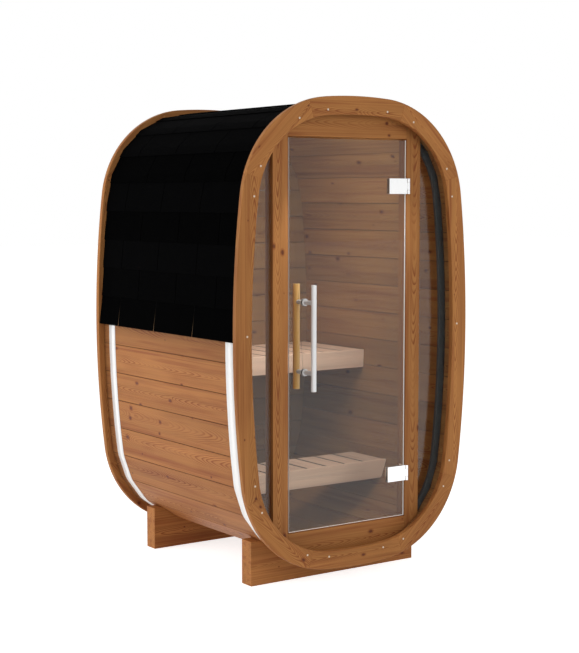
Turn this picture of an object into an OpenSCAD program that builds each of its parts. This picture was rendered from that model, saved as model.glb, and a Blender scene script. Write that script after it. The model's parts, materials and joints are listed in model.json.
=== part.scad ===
// Small outdoor barrel sauna with a glass door, millimetres.
// X runs to the right seen from the front, Y from front to rear, Z up from the ground.
// The cabin is a barrel of straight staves between two end rings, tied by two steel bands,
// shingled over its upper half and laid on two cradle bearers.

/* [Barrel outline] */
// Width over the end rings
ring_w = 1226; // [1150:1:1400]
// Height over the end rings
ring_h = 2000; // [1900:1:2200]
// Length over the end rings
barrel_l = 1204; // [1150:1:1600]
// Radius of the two side arcs of the outline
side_r = 4940; // [4000:10:7000]
// Radius of the top and bottom arcs of the outline
crown_r = 1990; // [1700:10:2600]
// Radius of the four corner arcs of the outline
corner_r = 455; // [430:1:480]
// Height of the rings' lowest point above the ground
ring_lift = 60; // [40:1:120]

/* [End rings] */
// Thickness of a ring, front to back
ring_t = 26; // [18:1:40]
// Width of a ring, outer edge to inner edge
ring_band = 78; // [70:1:100]
// How far a ring stands out past the outer faces of the staves
ring_proud = 28; // [24:1:40]
// Angle of the joint between a corner piece and a side rail, about the corner's centre
mitre_low = 17; // [12:1:25]
// Angle of the joint between a corner piece and a top or bottom rail
mitre_high = 74; // [65:1:80]

/* [Staves] */
// Number of staves round the barrel
stave_count = 41; // [39:2:43]
// Thickness of a stave
stave_t = 26; // [20:1:34]
// Gap between neighbouring staves
stave_gap = 0.5; // [0.3:0.1:1]
// Chamfer along the edges of a stave
stave_chamfer = 2; // [1:0.5:4]
// Staves in the roof, on each side of the ridge
roof_count = 2; // [1:1:3]
// Staves in each upper corner
upper_count = 4; // [3:1:5]
// Staves in each side wall
wall_count = 8; // [7:1:9]
// Staves in each lower corner
lower_count = 5; // [4:1:5]

/* [Bands] */
// Width of a steel band
band_w = 56; // [30:1:70]
// Thickness of a steel band
band_t = 1; // [0.8:0.1:2]
// Front band's front edge behind the barrel's front face
band_front_set = 66; // [40:1:80]
// Rear band's rear edge before the barrel's rear face
band_rear_set = 79; // [40:1:90]

/* [Shingles] */
// Courses of shingles on each side of the ridge
shingle_courses = 10; // [8:1:11]
// Thickness of a shingle
shingle_t = 3; // [2:0.5:5]
// How far a course reaches down over the next one
shingle_lap = 40; // [20:1:50]
// How far the lowest course stands off its stave at the eaves
eave_lift = 20; // [10:0.5:22]
// Width of a shingle tab
tab_w = 324; // [250:1:400]
// Width of the slit between two tabs
slit_w = 3; // [2:0.5:6]
// Length of the slit between two tabs
slit_l = 132; // [80:1:140]
// Reach of the ridge cap on each side
cap_reach = 112; // [80:1:120]

/* [Cradle] */
// Thickness of a bearer, front to back
bearer_t = 72.5; // [50:0.5:100]
// Height of a bearer's ends
bearer_h = 192; // [150:1:230]
// Length of a bearer
bearer_l = 877; // [820:1:1000]
// Distance of each bearer from the nearer end of the barrel
bearer_set = 157.5; // [130:0.5:240]

/* [Rear wall] */
// Thickness of the rear wall boards
back_t = 26; // [18:1:34]
// Cover width of a rear wall board
back_board = 130; // [90:1:160]
// Chamfer of the rear wall boards
back_chamfer = 2; // [1:0.5:4]

/* [Door frame] */
// Width of a door post
post_w = 76; // [60:1:90]
// Depth of a door post
post_d = 58; // [50:1:80]
// Depth of the head and the sill
head_d = 44; // [35:1:60]
// Door post's front face behind the barrel's front face
post_set = 62; // [56:1:90]

/* [Door] */
// Width of the glass door
door_w = 620; // [560:1:640]
// Thickness of the glass
glass_t = 8; // [6:0.5:10]
// Height of the door's lower edge above the rings' lowest point
door_z = 172; // [160:1:220]
// Door's upper edge below the rings' highest point
door_drop = 176; // [165:1:300]
// Gap round the door
door_gap = 6; // [5:0.5:10]

/* [Side glass] */
// Front of the side glass behind the door post's front face
side_glass_set = 14; // [10:1:24]
// Depth of the trim strip behind the side glass
trim_d = 15; // [8:1:20]
// Width of the trim strip
trim_w = 32; // [20:1:40]

/* [Hinges] */
// Height of a hinge
hinge_h = 67; // [50:1:90]
// Reach of the clamp plate from the hinge axis over the glass
clamp_reach = 106; // [80:1:120]
// Thickness of the clamp's front plate
clamp_t = 8; // [6:0.5:10]
// Thickness of the clamp's rear plate
clamp_back_t = 6; // [4:0.5:8]
// Hinge axis outside the edge of the glass
axis_out = 10; // [9:0.5:14]
// Outer diameter of the hinge knuckles
knuckle_d = 14; // [12:0.5:15]
// Diameter of the hinge pin
pin_d = 6; // [5:0.5:8]
// Diametral clearance of the hinge pin
pin_fit = 0.1; // [0.05:0.01:0.2]
// Thickness of the fixed leaf
leaf_t = 3; // [2:0.5:5]
// Depth of the fixed leaf along the post
leaf_d = 44; // [30:1:48]
// Diameter of the clamp bolts
bolt_d = 10; // [6:1:12]
// Distance between the clamp bolts
bolt_pitch = 44; // [30:1:56]
// Lower hinge's middle above the door's lower edge
hinge_low = 191; // [120:1:300]
// Upper hinge's middle below the door's upper edge
hinge_high = 198; // [120:1:300]

/* [Handle] */
// Length of the two handle bars
handle_l = 445; // [350:1:600]
// Diameter of the outer steel bar
bar_d = 22.5; // [20:0.5:30]
// Diameter of the inner wooden bar
grip_d = 29.5; // [24:0.5:36]
// Axis of the outer bar before the front of the glass
bar_out = 64.5; // [50:0.5:80]
// Axis of the inner bar behind the back of the glass
grip_in = 56; // [45:0.5:80]
// Distance of the handle from the free edge of the door
handle_set = 80; // [50:1:110]
// Middle of the handle above the door's lower edge
handle_z = 821; // [700:1:950]
// Distance between the two spindles
spindle_pitch = 295; // [200:1:330]
// Diameter of a spindle
spindle_d = 19; // [16:0.5:20]
// Diameter of a spindle's tenons and of its neck through the glass
tenon_d = 12; // [8:0.5:13]
// Length of a tenon in a bar
tenon_l = 8; // [4:0.5:10]
// Diameter of a spindle's flanges
flange_d = 31; // [24:0.5:40]
// Thickness of a flange
flange_t = 5; // [2:0.5:8]

/* [Benches] */
// Thickness of the bench boards
bench_t = 26; // [20:1:34]
// Width of a bench slat
slat_w = 96; // [80:1:100]
// Gap between two slats
slat_gap = 11; // [6:0.5:14]
// Gap between the outermost slats and the side walls, at the undersides
slat_side = 8; // [6:1:20]
// Height of the rails under the slats
rail_h = 45; // [30:1:50]
// Height of the bench fascias
fascia_h = 86; // [76:1:100]
// Thickness of the bench fascias
fascia_t = 16; // [12:1:26]
// Upper bench's front behind the barrel's front face
upper_front = 670; // [640:1:720]
// Upper bench's top above the rings' lowest point
upper_top = 846; // [780:1:900]
// Lower bench's front behind the barrel's front face
lower_front = 430; // [330:1:460]
// Lower bench's top above the rings' lowest point
lower_top = 350; // [330:1:440]
// Depth of the lower bench
lower_d = 253; // [200:1:300]

/* [Fits] */
// Gap where one piece seats against another
seat = 0.3; // [0.1:0.05:0.5]
// Radial clearance of a hole round a bolt or a neck in the glass
hole_clear = 1.5; // [1:0.5:3]
// Gap between the end faces of two knuckles
knuckle_gap = 0.5; // [0.3:0.1:1]

/* [Hidden] */
$fn = 96;

// Main planes: the handle's front and the rear ring's rear face are equally far from Y = 0
front_reach = max(bar_out + bar_d / 2 - post_set, 0);
front_y = (front_reach - barrel_l) / 2;
rear_y = front_y + barrel_l;
mid_y = (front_y + rear_y) / 2;
stave_front = front_y + ring_t;
stave_rear = rear_y - ring_t;
stave_l = stave_rear - stave_front;
post_y = front_y + post_set;
back_y = stave_rear - back_t;
mid_z = ring_lift + ring_h / 2;

// Outline: each corner arc is tangent to a side arc and to the crown arc
side_c = [ring_w / 2 - side_r, 0];
crown_c = [0, ring_h / 2 - crown_r];
span = norm(crown_c - side_c);
toward = (crown_c - side_c) / span;
step_in = ((side_r - corner_r) ^ 2 - (crown_r - corner_r) ^ 2 + span ^ 2) / (2 * span);
step_up = sqrt((side_r - corner_r) ^ 2 - step_in ^ 2);
corner_c = side_c + step_in * toward + step_up * [-toward.y, toward.x];
side_a = atan2(corner_c.y - side_c.y, corner_c.x - side_c.x);
crown_a = atan2(corner_c.y - crown_c.y, corner_c.x - crown_c.x);

// Lengths of the arcs along the outer corners of the staves, from the ridge down the right side
crown_run = run_of(crown_r - ring_proud, 90 - crown_a);
corner_run = run_of(corner_r - ring_proud, crown_a - side_a);
side_run = run_of(side_r - ring_proud, 2 * side_a);
turn_1 = crown_run;
turn_2 = turn_1 + corner_run;
turn_3 = turn_2 + side_run;
turn_4 = turn_3 + corner_run;
half_run = turn_4 + crown_run;
pitch = 2 * half_run / stave_count;

// Staves are numbered clockwise from the ridge, seen from the front
upper_from = roof_count;
wall_from = upper_from + upper_count;
lower_from = wall_from + wall_count;
floor_from = lower_from + lower_count;
last_stave = stave_count - 1;

// Door and frame
door_x = door_w / 2;
door_bottom = ring_lift + door_z;
door_top = ring_lift + ring_h - door_drop;
door_h = door_top - door_bottom;
door_back = post_y + glass_t;
post_x = door_x + door_gap;
post_out = post_x + post_w;
side_glass_y = post_y + side_glass_set;
trim_y = side_glass_y + glass_t;

// Hinges
axis_x = door_x + axis_out;
axis_y = post_y - clamp_t;
clamp_x = axis_x - clamp_reach;
clamp_edge = axis_x - knuckle_d / 2 - 2 * knuckle_gap;
bolt_x = (clamp_x + door_x - hole_clear) / 2;
end_knuckle = hinge_h / 4;
upper_hinge_z = door_top - hinge_high;
lower_hinge_z = door_bottom + hinge_low;

// Handle
handle_x = -door_x + handle_set;
handle_mid = door_bottom + handle_z;
bar_y = post_y - bar_out;
grip_y = door_back + grip_in;
hole_d = tenon_d + 2 * hole_clear;

// Benches
upper_y = front_y + upper_front;
lower_y = front_y + lower_front;
slat_pitch = slat_w + slat_gap;
wide = ring_w + ring_h;

// Colours
stave_tone = [0.69, 0.46, 0.28];
ring_tone = [0.60, 0.40, 0.24];
bench_tone = [0.76, 0.62, 0.52];
steel_tone = [0.86, 0.87, 0.88];
shingle_tone = [0.05, 0.05, 0.06];
trim_tone = [0.20, 0.20, 0.22];
glass_tone = [0.62, 0.60, 0.58, 0.35];
grip_tone = [0.71, 0.51, 0.28];

// Points of the outline

function unit(v) = v / norm(v);
function run_of(r, a) = r * a * PI / 180;
function turn_of(run, r) = run / r * 180 / PI;
function on_arc(c, r, a) = [c.x + r * cos(a), mid_z + c.y + r * sin(a)];
function below(c) = [c.x, -c.y];
function reversed(points) = [for (i = [len(points) - 1 : -1 : 0]) points[i]];

// Points along an arc in n steps, without the last one
function arc_points(c, r, a_from, a_to, n) =
    [for (i = [0 : n - 1]) on_arc(c, r, a_from + (a_to - a_from) * i / n)];

// Point on the right half of the outline, a run p below the ridge and inset from the ring's edge
function right_spot(p, inset) =
    p < turn_1 ? on_arc(crown_c, crown_r - inset, 90 - turn_of(p, crown_r - ring_proud))
    : p < turn_2 ? on_arc(corner_c, corner_r - inset, crown_a - turn_of(p - turn_1, corner_r - ring_proud))
    : p < turn_3 ? on_arc(side_c, side_r - inset, side_a - turn_of(p - turn_2, side_r - ring_proud))
    : p < turn_4 ? on_arc(below(corner_c), corner_r - inset,
        -side_a - turn_of(p - turn_3, corner_r - ring_proud))
    : on_arc(below(crown_c), crown_r - inset, -crown_a - turn_of(p - turn_4, crown_r - ring_proud));

// Point anywhere on the outline, a run s clockwise from the ridge
function spot(s, inset) =
    s <= half_run ? right_spot(s, inset)
    : let (p = right_spot(2 * half_run - s, inset)) [-p.x, p.y];

// Polygon through the corners of the staves
function facets(inset) = [for (k = [0 : last_stave]) spot(k * pitch, inset)];

// Half the clear width of the room at a height z on its side and corner arcs
function room_half(z) =
    let (
        inset = ring_proud + stave_t,
        rise = abs(z - mid_z),
        side_top = (side_r - inset) * sin(side_a)
    )
    rise <= side_top ? side_c.x + sqrt((side_r - inset) ^ 2 - rise ^ 2)
    : corner_c.x + sqrt((corner_r - inset) ^ 2 - (rise - corner_c.y) ^ 2);

// Section of one stave, with its four edges chamfered
function stave_section(k) =
    let (
        a = spot(k * pitch, ring_proud),
        b = spot((k + 1) * pitch, ring_proud),
        c = spot((k + 1) * pitch, ring_proud + stave_t),
        d = spot(k * pitch, ring_proud + stave_t),
        along = unit(b - a),
        left_in = unit(d - a),
        right_in = unit(c - b),
        g = stave_gap / 2 * along,
        e = (stave_gap / 2 + stave_chamfer) * along
    )
    [
        a + e, b - e,
        b - g + stave_chamfer * right_in, c - g - stave_chamfer * right_in,
        c - e, d + e,
        d + g - stave_chamfer * left_in, a + g + stave_chamfer * left_in
    ];

// Shared shapes

// Extrudes a shape drawn in X and Z from y to y + depth
module slab(y, depth) {
    translate([0, y + depth, 0])
        rotate([90, 0, 0])
            linear_extrude(depth)
                children();
}

// Room between the inner faces of the staves
module room_outline(gap = seat) {
    polygon(facets(ring_proud + stave_t + gap));
}

// Part of the room between two values of X and of Z
module room_part(x_from, x_to, z_from, z_to) {
    intersection() {
        room_outline();
        translate([x_from, z_from])
            square([x_to - x_from, z_to - z_from]);
    }
}

module staves(from, to) {
    color(stave_tone)
        for (k = [from : to])
            slab(stave_front, stave_l)
                polygon(stave_section(k));
}

// Corner piece of the front ring
module corner_piece() {
    translate([corner_c.x, stave_front, mid_z + corner_c.y])
        rotate([90, 0, 0])
            rotate([0, 0, mitre_low])
                rotate_extrude(angle = mitre_high - mitre_low, $fn = 180)
                    translate([corner_r - ring_band, 0])
                        square([ring_band, ring_t]);
}

module ring_corners() {
    for (side = [0, 1], end = [0, 1])
        mirror([side, 0, 0])
            translate([0, 0, mid_z])
                mirror([0, 0, end])
                    translate([0, 0, -mid_z])
                        corner_piece();
}

// Edges of the straighter ring pieces, inset from the outline: each runs through three arcs
function side_edge(inset) = concat(
    arc_points(corner_c, corner_r - inset, mitre_low, side_a, 4),
    arc_points(side_c, side_r - inset, side_a, -side_a, 16),
    arc_points(below(corner_c), corner_r - inset, -side_a, -mitre_low, 4),
    [on_arc(below(corner_c), corner_r - inset, -mitre_low)]
);
function crown_edge(inset) = concat(
    arc_points(corner_c, corner_r - inset, mitre_high, crown_a, 4),
    arc_points(crown_c, crown_r - inset, crown_a, 180 - crown_a, 8),
    arc_points([-corner_c.x, corner_c.y], corner_r - inset, 180 - crown_a, 180 - mitre_high, 4),
    [on_arc([-corner_c.x, corner_c.y], corner_r - inset, 180 - mitre_high)]
);

module side_rail() {
    slab(front_y, ring_t)
        polygon(concat(side_edge(0), reversed(side_edge(ring_band))));
}

module crown_rail() {
    slab(front_y, ring_t)
        polygon(concat(crown_edge(0), reversed(crown_edge(ring_band))));
}

module ring_rails() {
    side_rail();
    mirror([1, 0, 0])
        side_rail();
    crown_rail();
    translate([0, 0, 2 * mid_z])
        mirror([0, 0, 1])
            crown_rail();
}

// Places a front end piece at the rear end, facing the rear
module at_rear() {
    translate([0, 2 * mid_y, 0])
        mirror([0, 1, 0])
            children();
}

module band(y) {
    color(steel_tone)
        slab(y, band_w)
            difference() {
                polygon(facets(ring_proud - seat - band_t));
                polygon(facets(ring_proud - seat));
            }
}

module bearer(y) {
    color(ring_tone)
        difference() {
            translate([-bearer_l / 2, y, 0])
                cube([bearer_l, bearer_t, bearer_h]);
            slab(y - bearer_t, 3 * bearer_t)
                polygon(facets(ring_proud - seat));
        }
}

// Heights of a course's underside: at its upper end over its stave, and over the next course's upper end
shingle_base = band_t + 2 * seat;
lap_base = shingle_base + shingle_t + seat;

// Points over the staves: at a run down stave k, and over the joint between stave k and the next one
function stave_top(k) = spot(k * pitch, ring_proud);
function stave_run(k) = norm(stave_top(k + 1) - stave_top(k));
function stave_way(k) = (stave_top(k + 1) - stave_top(k)) / stave_run(k);
function stave_out(k) = [-stave_way(k).y, stave_way(k).x];
function over(k, run, h) = stave_top(k) + run * stave_way(k) + h * stave_out(k);
function over_joint(k, h) =
    let (out = unit(stave_out(k) + stave_out(k + 1)))
    stave_top(k + 1) + h / (out * stave_out(k)) * out;

// The lowest course runs straight out to the eaves, the others bend over the joint and lie on the next one
function is_eave(k) = k == shingle_courses - 1;
function course_run(k) = stave_run(k) + shingle_lap;
function lap_height(k) =
    lap_base + shingle_lap * (is_eave(k + 1)
        ? (eave_lift - shingle_base) / course_run(k + 1)
        : (lap_base - shingle_base) / stave_run(k + 1));

// Line down course k, h above its underside, from a run below its upper end to a little past its lower end
function course_line(k, h, from = 0, past = 0) =
    is_eave(k)
        ? [over(k, from, shingle_base + h), over(k, course_run(k) + past, eave_lift + h)]
        : [
            over(k, from, shingle_base + h),
            over_joint(k, lap_base + h),
            over(k + 1, shingle_lap + past, lap_height(k) + h)
        ];
function flipped(list) = [for (i = [len(list) - 1 : -1 : 0]) list[i]];

// One course on the right slope, cut into tabs from its lower end
module course(k) {
    slit_from = course_run(k) - slit_l;
    shift = k % 2 == 1 ? tab_w : tab_w / 2;
    difference() {
        slab(stave_front + seat, stave_l - 2 * seat)
            polygon(concat(course_line(k, 0), flipped(course_line(k, shingle_t))));
        for (y = [shift : tab_w : stave_l - tab_w / 4])
            slab(stave_front + y - slit_w / 2, slit_w)
                polygon(concat(
                    course_line(k, -shingle_t, slit_from, shingle_t),
                    flipped(course_line(k, 3 * shingle_t, slit_from, shingle_t))
                ));
    }
}

module shingles() {
    color(shingle_tone)
        for (k = [0 : shingle_courses - 1])
            course(k);
}

// Sub-parts of the cabin

module front_bearer() { bearer(front_y + bearer_set); }
module rear_bearer() { bearer(rear_y - bearer_set - bearer_t); }

module roof_staves() {
    staves(0, upper_from - 1);
    staves(stave_count - upper_from, last_stave);
}
module upper_right_staves() { staves(upper_from, wall_from - 1); }
module right_wall_staves() { staves(wall_from, lower_from - 1); }
module lower_right_staves() { staves(lower_from, floor_from - 1); }
module floor_staves() { staves(floor_from, last_stave - floor_from); }
module lower_left_staves() { staves(stave_count - floor_from, last_stave - lower_from); }
module left_wall_staves() { staves(stave_count - lower_from, last_stave - wall_from); }
module upper_left_staves() { staves(stave_count - wall_from, last_stave - upper_from); }

module front_ring_corners() { color(ring_tone) ring_corners(); }
module front_ring_rails() { color(ring_tone) ring_rails(); }
module rear_ring_corners() { color(ring_tone) at_rear() ring_corners(); }
module rear_ring_rails() { color(ring_tone) at_rear() ring_rails(); }

module front_band() { band(front_y + band_front_set); }
module rear_band() { band(rear_y - band_rear_set - band_w); }

module right_shingles() { shingles(); }
module left_shingles() { mirror([1, 0, 0]) shingles(); }

// Folded strip over the upper ends of the two top courses
module ridge_cap() {
    rise = (lap_base - shingle_base) / stave_run(0);
    peak = stave_top(0) + [0, lap_base];
    foot = over(0, cap_reach, lap_base + cap_reach * rise);
    up = [0, shingle_t];
    color(shingle_tone)
        slab(stave_front + seat, stave_l - 2 * seat)
            polygon([
                peak, foot, foot + up, peak + up, [-foot.x, foot.y] + up, [-foot.x, foot.y]
            ]);
}

// Horizontal boards between the staves, held by the inner edge of the rear ring
module back_wall() {
    room_bottom = ring_lift + ring_proud + stave_t;
    room_top = ring_lift + ring_h - ring_proud - stave_t;
    color(stave_tone)
        for (z = [room_bottom : back_board : room_top])
            difference() {
                slab(back_y, back_t)
                    room_part(-wide, wide, z, z + back_board - stave_gap);
                for (edge = [z, z + back_board - stave_gap])
                    translate([-wide, back_y, edge])
                        rotate([45, 0, 0])
                            translate([0, -back_chamfer, -back_chamfer])
                                cube([2 * wide, 2 * back_chamfer, 2 * back_chamfer]);
            }
}

module left_post() {
    color(ring_tone)
        slab(post_y, post_d)
            room_part(-post_out, -post_x, 0, wide);
}

// The hinge leaves lie in mortises in this post
module right_post() {
    color(ring_tone)
        difference() {
            slab(post_y, post_d)
                room_part(post_x, post_out, 0, wide);
            for (z = [lower_hinge_z, upper_hinge_z])
                translate([post_x - leaf_t, post_y - leaf_d, z - hinge_h / 2 - seat])
                    cube([2 * leaf_t + seat, 2 * leaf_d + seat, hinge_h + 2 * seat]);
        }
}

module door_head() {
    color(ring_tone)
        slab(post_y, head_d)
            room_part(seat - post_x, post_x - seat, door_top + door_gap, wide);
}

module door_sill() {
    color(ring_tone)
        slab(post_y, head_d)
            room_part(seat - post_x, post_x - seat, 0, door_bottom - door_gap);
}

module right_side_glass() {
    color(glass_tone)
        slab(side_glass_y, glass_t)
            room_part(post_out + seat, wide, 0, wide);
}
module left_side_glass() { mirror([1, 0, 0]) right_side_glass(); }

// Strip behind the side glass: its outer edge fits the staves, its inner edge is a smooth curve
module right_glass_trim() {
    inner = [for (i = [0 : 80]) right_spot(half_run * i / 80, ring_proud + stave_t + trim_w)];
    color(trim_tone)
        slab(trim_y, trim_d)
            difference() {
                room_part(post_out + seat, wide, 0, wide);
                polygon(inner);
            }
}
module left_glass_trim() { mirror([1, 0, 0]) right_glass_trim(); }

// Benches: a fascia from wall to wall, rails under the slats and slats from front to rear

module fascia(y, top) {
    color(bench_tone)
        slab(y, fascia_t)
            room_part(-wide, wide, ring_lift + top - fascia_h, ring_lift + top);
}

module rails(y_front, y_rear, top) {
    color(bench_tone)
        for (y = [y_front, y_rear])
            slab(y, bench_t)
                room_part(-wide, wide, ring_lift + top - bench_t - rail_h, ring_lift + top - bench_t);
}

// As many slats as the room takes at the height of their undersides, the outermost two cut to fit
module slats(y_from, y_to, top) {
    under = ring_lift + top - bench_t;
    reach = room_half(under) - slat_side;
    last = floor((2 * reach + slat_gap) / slat_pitch) - 1;
    color(bench_tone)
        for (i = [0 : last]) {
            middle = (i - last / 2) * slat_pitch;
            left = i == 0 ? -reach : middle - slat_w / 2;
            right = i == last ? reach : middle + slat_w / 2;
            translate([left, y_from, under])
                cube([right - left, y_to - y_from, bench_t]);
        }
}

module upper_bench_fascia() { fascia(upper_y, upper_top); }
module upper_bench_rails() { rails(upper_y + fascia_t, back_y - bench_t, upper_top); }
module upper_bench_slats() { slats(upper_y + fascia_t, back_y, upper_top); }
module lower_bench_fascia() { fascia(lower_y, lower_top); }
module lower_bench_rails() { rails(lower_y + fascia_t, lower_y + lower_d - bench_t, lower_top); }
module lower_bench_slats() { slats(lower_y + fascia_t, lower_y + lower_d, lower_top); }

// Fixed half of a hinge: a leaf let into the post, two knuckles and the pin
module hinge_leaf(z) {
    color(steel_tone)
        union() {
            translate([post_x, post_y, z - hinge_h / 2])
                cube([leaf_t, leaf_d, hinge_h]);
            for (end = [z - hinge_h / 2, z + hinge_h / 2 - end_knuckle]) {
                translate([axis_x, axis_y, end])
                    cylinder(d = knuckle_d, h = end_knuckle);
                translate([post_x, axis_y, end])
                    cube([leaf_t, clamp_t + leaf_t, end_knuckle]);
            }
            translate([axis_x, axis_y, z - hinge_h / 2])
                cylinder(d = pin_d, h = hinge_h);
        }
}
module upper_hinge_leaf() { hinge_leaf(upper_hinge_z); }
module lower_hinge_leaf() { hinge_leaf(lower_hinge_z); }

// Sub-parts of the door

module door_glass() {
    color(glass_tone)
        difference() {
            translate([-door_x, post_y, door_bottom])
                cube([door_w, glass_t, door_h]);
            for (side = [-1, 1])
                translate([handle_x, door_back + glass_t, handle_mid + side * spindle_pitch / 2])
                    rotate([90, 0, 0])
                        cylinder(d = hole_d, h = 3 * glass_t);
            for (z = [lower_hinge_z, upper_hinge_z], side = [-1, 1])
                translate([bolt_x + side * bolt_pitch / 2, door_back + glass_t, z])
                    rotate([90, 0, 0])
                        cylinder(d = bolt_d + 2 * hole_clear, h = 3 * glass_t);
        }
}

// Moving half of a hinge: two plates bolted through the glass and the middle knuckle
module hinge_clamp(z) {
    middle_h = hinge_h - 2 * end_knuckle - 2 * knuckle_gap;
    color(steel_tone)
        difference() {
            union() {
                translate([clamp_x, axis_y, z - hinge_h / 2])
                    cube([clamp_edge - clamp_x, clamp_t, hinge_h]);
                translate([clamp_x, door_back, z - hinge_h / 2])
                    cube([door_x - clamp_x, clamp_back_t, hinge_h]);
                for (side = [-1, 1])
                    translate([bolt_x + side * bolt_pitch / 2, door_back + clamp_back_t, z])
                        rotate([90, 0, 0])
                            cylinder(d = bolt_d, h = clamp_back_t + glass_t + clamp_t);
                translate([axis_x, axis_y, z - middle_h / 2])
                    cylinder(d = knuckle_d, h = middle_h);
                translate([clamp_x, axis_y, z - middle_h / 2])
                    cube([clamp_reach, knuckle_d / 3, middle_h]);
            }
            translate([axis_x, axis_y, z - hinge_h])
                cylinder(d = pin_d + pin_fit, h = 2 * hinge_h);
        }
}
module upper_hinge_clamp() { hinge_clamp(upper_hinge_z); }
module lower_hinge_clamp() { hinge_clamp(lower_hinge_z); }

// Upright bar drilled for the spindles' tenons from one side
module handle_bar(y, d, toward_glass) {
    difference() {
        translate([handle_x, y, handle_mid - handle_l / 2])
            cylinder(d = d, h = handle_l);
        for (side = [-1, 1])
            translate([handle_x, y, handle_mid + side * spindle_pitch / 2])
                rotate([-90 * toward_glass, 0, 0])
                    translate([0, 0, d / 2 - tenon_l - seat])
                        cylinder(d = tenon_d + 2 * seat, h = d);
    }
}
module outer_handle() { color(steel_tone) handle_bar(bar_y, bar_d, 1); }
module inner_handle() { color(grip_tone) handle_bar(grip_y, grip_d, -1); }

// Spindle along Y: a body saddled on each bar, tenons in the bars, a neck and flanges at the glass
module spindle(z) {
    outer_end = bar_y + bar_d / 2;
    inner_end = grip_y - grip_d / 2;
    difference() {
        union() {
            translate([handle_x, bar_y, z])
                rotate([-90, 0, 0])
                    cylinder(d = spindle_d, h = bar_out);
            translate([handle_x, door_back, z])
                rotate([-90, 0, 0])
                    cylinder(d = spindle_d, h = grip_in);
        }
        translate([handle_x, bar_y, z - spindle_d])
            cylinder(d = bar_d + 2 * seat, h = 2 * spindle_d);
        translate([handle_x, grip_y, z - spindle_d])
            cylinder(d = grip_d + 2 * seat, h = 2 * spindle_d);
    }
    translate([handle_x, outer_end - tenon_l, z])
        rotate([-90, 0, 0])
            cylinder(d = tenon_d, h = inner_end - outer_end + 2 * tenon_l);
    for (y = [post_y - flange_t, door_back])
        translate([handle_x, y, z])
            rotate([-90, 0, 0])
                cylinder(d = flange_d, h = flange_t);
}

module handle_spindles() {
    color(steel_tone)
        for (side = [-1, 1])
            spindle(handle_mid + side * spindle_pitch / 2);
}

front_bearer();
rear_bearer();
floor_staves();
lower_left_staves();
left_wall_staves();
upper_left_staves();
roof_staves();
upper_right_staves();
right_wall_staves();
lower_right_staves();
front_ring_corners();
front_ring_rails();
rear_ring_corners();
rear_ring_rails();
front_band();
rear_band();
left_shingles();
right_shingles();
ridge_cap();
back_wall();
left_post();
right_post();
door_head();
door_sill();
left_side_glass();
right_side_glass();
left_glass_trim();
right_glass_trim();
upper_bench_fascia();
upper_bench_slats();
upper_bench_rails();
lower_bench_fascia();
lower_bench_slats();
lower_bench_rails();
upper_hinge_leaf();
lower_hinge_leaf();
door_glass();
upper_hinge_clamp();
lower_hinge_clamp();
outer_handle();
inner_handle();
handle_spindles();
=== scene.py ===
"""Looks of a small outdoor barrel sauna: planed staves and rings, felt, steel and glass, in metres."""

import json
import math
import random
from collections import namedtuple

import bmesh
import bpy
import numpy as np
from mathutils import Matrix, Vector

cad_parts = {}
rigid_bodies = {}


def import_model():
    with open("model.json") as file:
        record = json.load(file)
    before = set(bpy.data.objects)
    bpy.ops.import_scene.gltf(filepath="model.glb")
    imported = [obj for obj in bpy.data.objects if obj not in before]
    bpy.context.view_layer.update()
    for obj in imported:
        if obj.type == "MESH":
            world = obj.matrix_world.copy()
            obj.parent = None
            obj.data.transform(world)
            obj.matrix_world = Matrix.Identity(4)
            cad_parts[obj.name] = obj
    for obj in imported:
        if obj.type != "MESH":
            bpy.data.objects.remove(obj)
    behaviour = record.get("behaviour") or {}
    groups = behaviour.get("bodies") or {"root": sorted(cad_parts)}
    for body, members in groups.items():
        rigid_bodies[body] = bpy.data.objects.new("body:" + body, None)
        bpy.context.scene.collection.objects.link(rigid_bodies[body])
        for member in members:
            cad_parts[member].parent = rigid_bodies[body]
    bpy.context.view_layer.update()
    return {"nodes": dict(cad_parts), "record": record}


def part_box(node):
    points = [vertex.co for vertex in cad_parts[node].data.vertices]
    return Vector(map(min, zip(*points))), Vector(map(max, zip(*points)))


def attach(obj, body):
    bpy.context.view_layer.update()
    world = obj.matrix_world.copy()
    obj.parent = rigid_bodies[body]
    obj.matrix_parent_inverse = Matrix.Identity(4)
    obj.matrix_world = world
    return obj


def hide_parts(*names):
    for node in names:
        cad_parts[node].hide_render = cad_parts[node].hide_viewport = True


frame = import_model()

CABIN, DOOR = "cabin", "door"
SLOT_OF = {part["node"]: part["material_slot"] for part in frame["record"]["subparts"]}
chance = random.Random(11)

# Outline of the end rings: three kinds of arc, all tangent
SIDE_ARC = 4.940
CROWN_ARC = 1.990
CORNER_ARC = 0.455
RING_BAND = 0.078
# Joints between the ring's pieces, as angles about a corner's centre
MITRE_LOW = math.radians(17)
MITRE_HIGH = math.radians(74)
JOINT_GROOVE = 0.001
JOINT_SHARPNESS = math.radians(60)
RING_EDGE = 0.004
RING_EDGE_STEPS = 3
SIDE_STEPS = 16
CORNER_STEPS = 20
REST_STEPS = 5
CROWN_STEPS = 5
# The rear ring is planed back a little, so that its screw heads stay within the barrel's length
REAR_PLANED = 0.0006

# Screws in the rings: how far in from the rim, and their angles in degrees about a corner's centre
SCREW_IN = 0.0545
UPPER_SCREWS = (6, 24, 64, 85.5)
LOWER_SCREWS = (8, 25, 70.5, 87)
SIDE_SCREW_UP = 0.018
SCREW_HALF_D = 0.0043
SCREW_SIDES = 18
SCREW_SUNK = 0.001
FRONT_PROUD = 0.0016
REAR_PROUD = 0.0005
# A screw head's outline, as shares of its height and half diameter, and the socket in it
HEAD_OUTLINE = ((0.4, 1), (0.8, 0.85), (1, 0.6), (1, 0.42))
SOCKET_DEPTH = 0.0004
SOCKET_FOOT = 0.38 * SCREW_HALF_D

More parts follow.
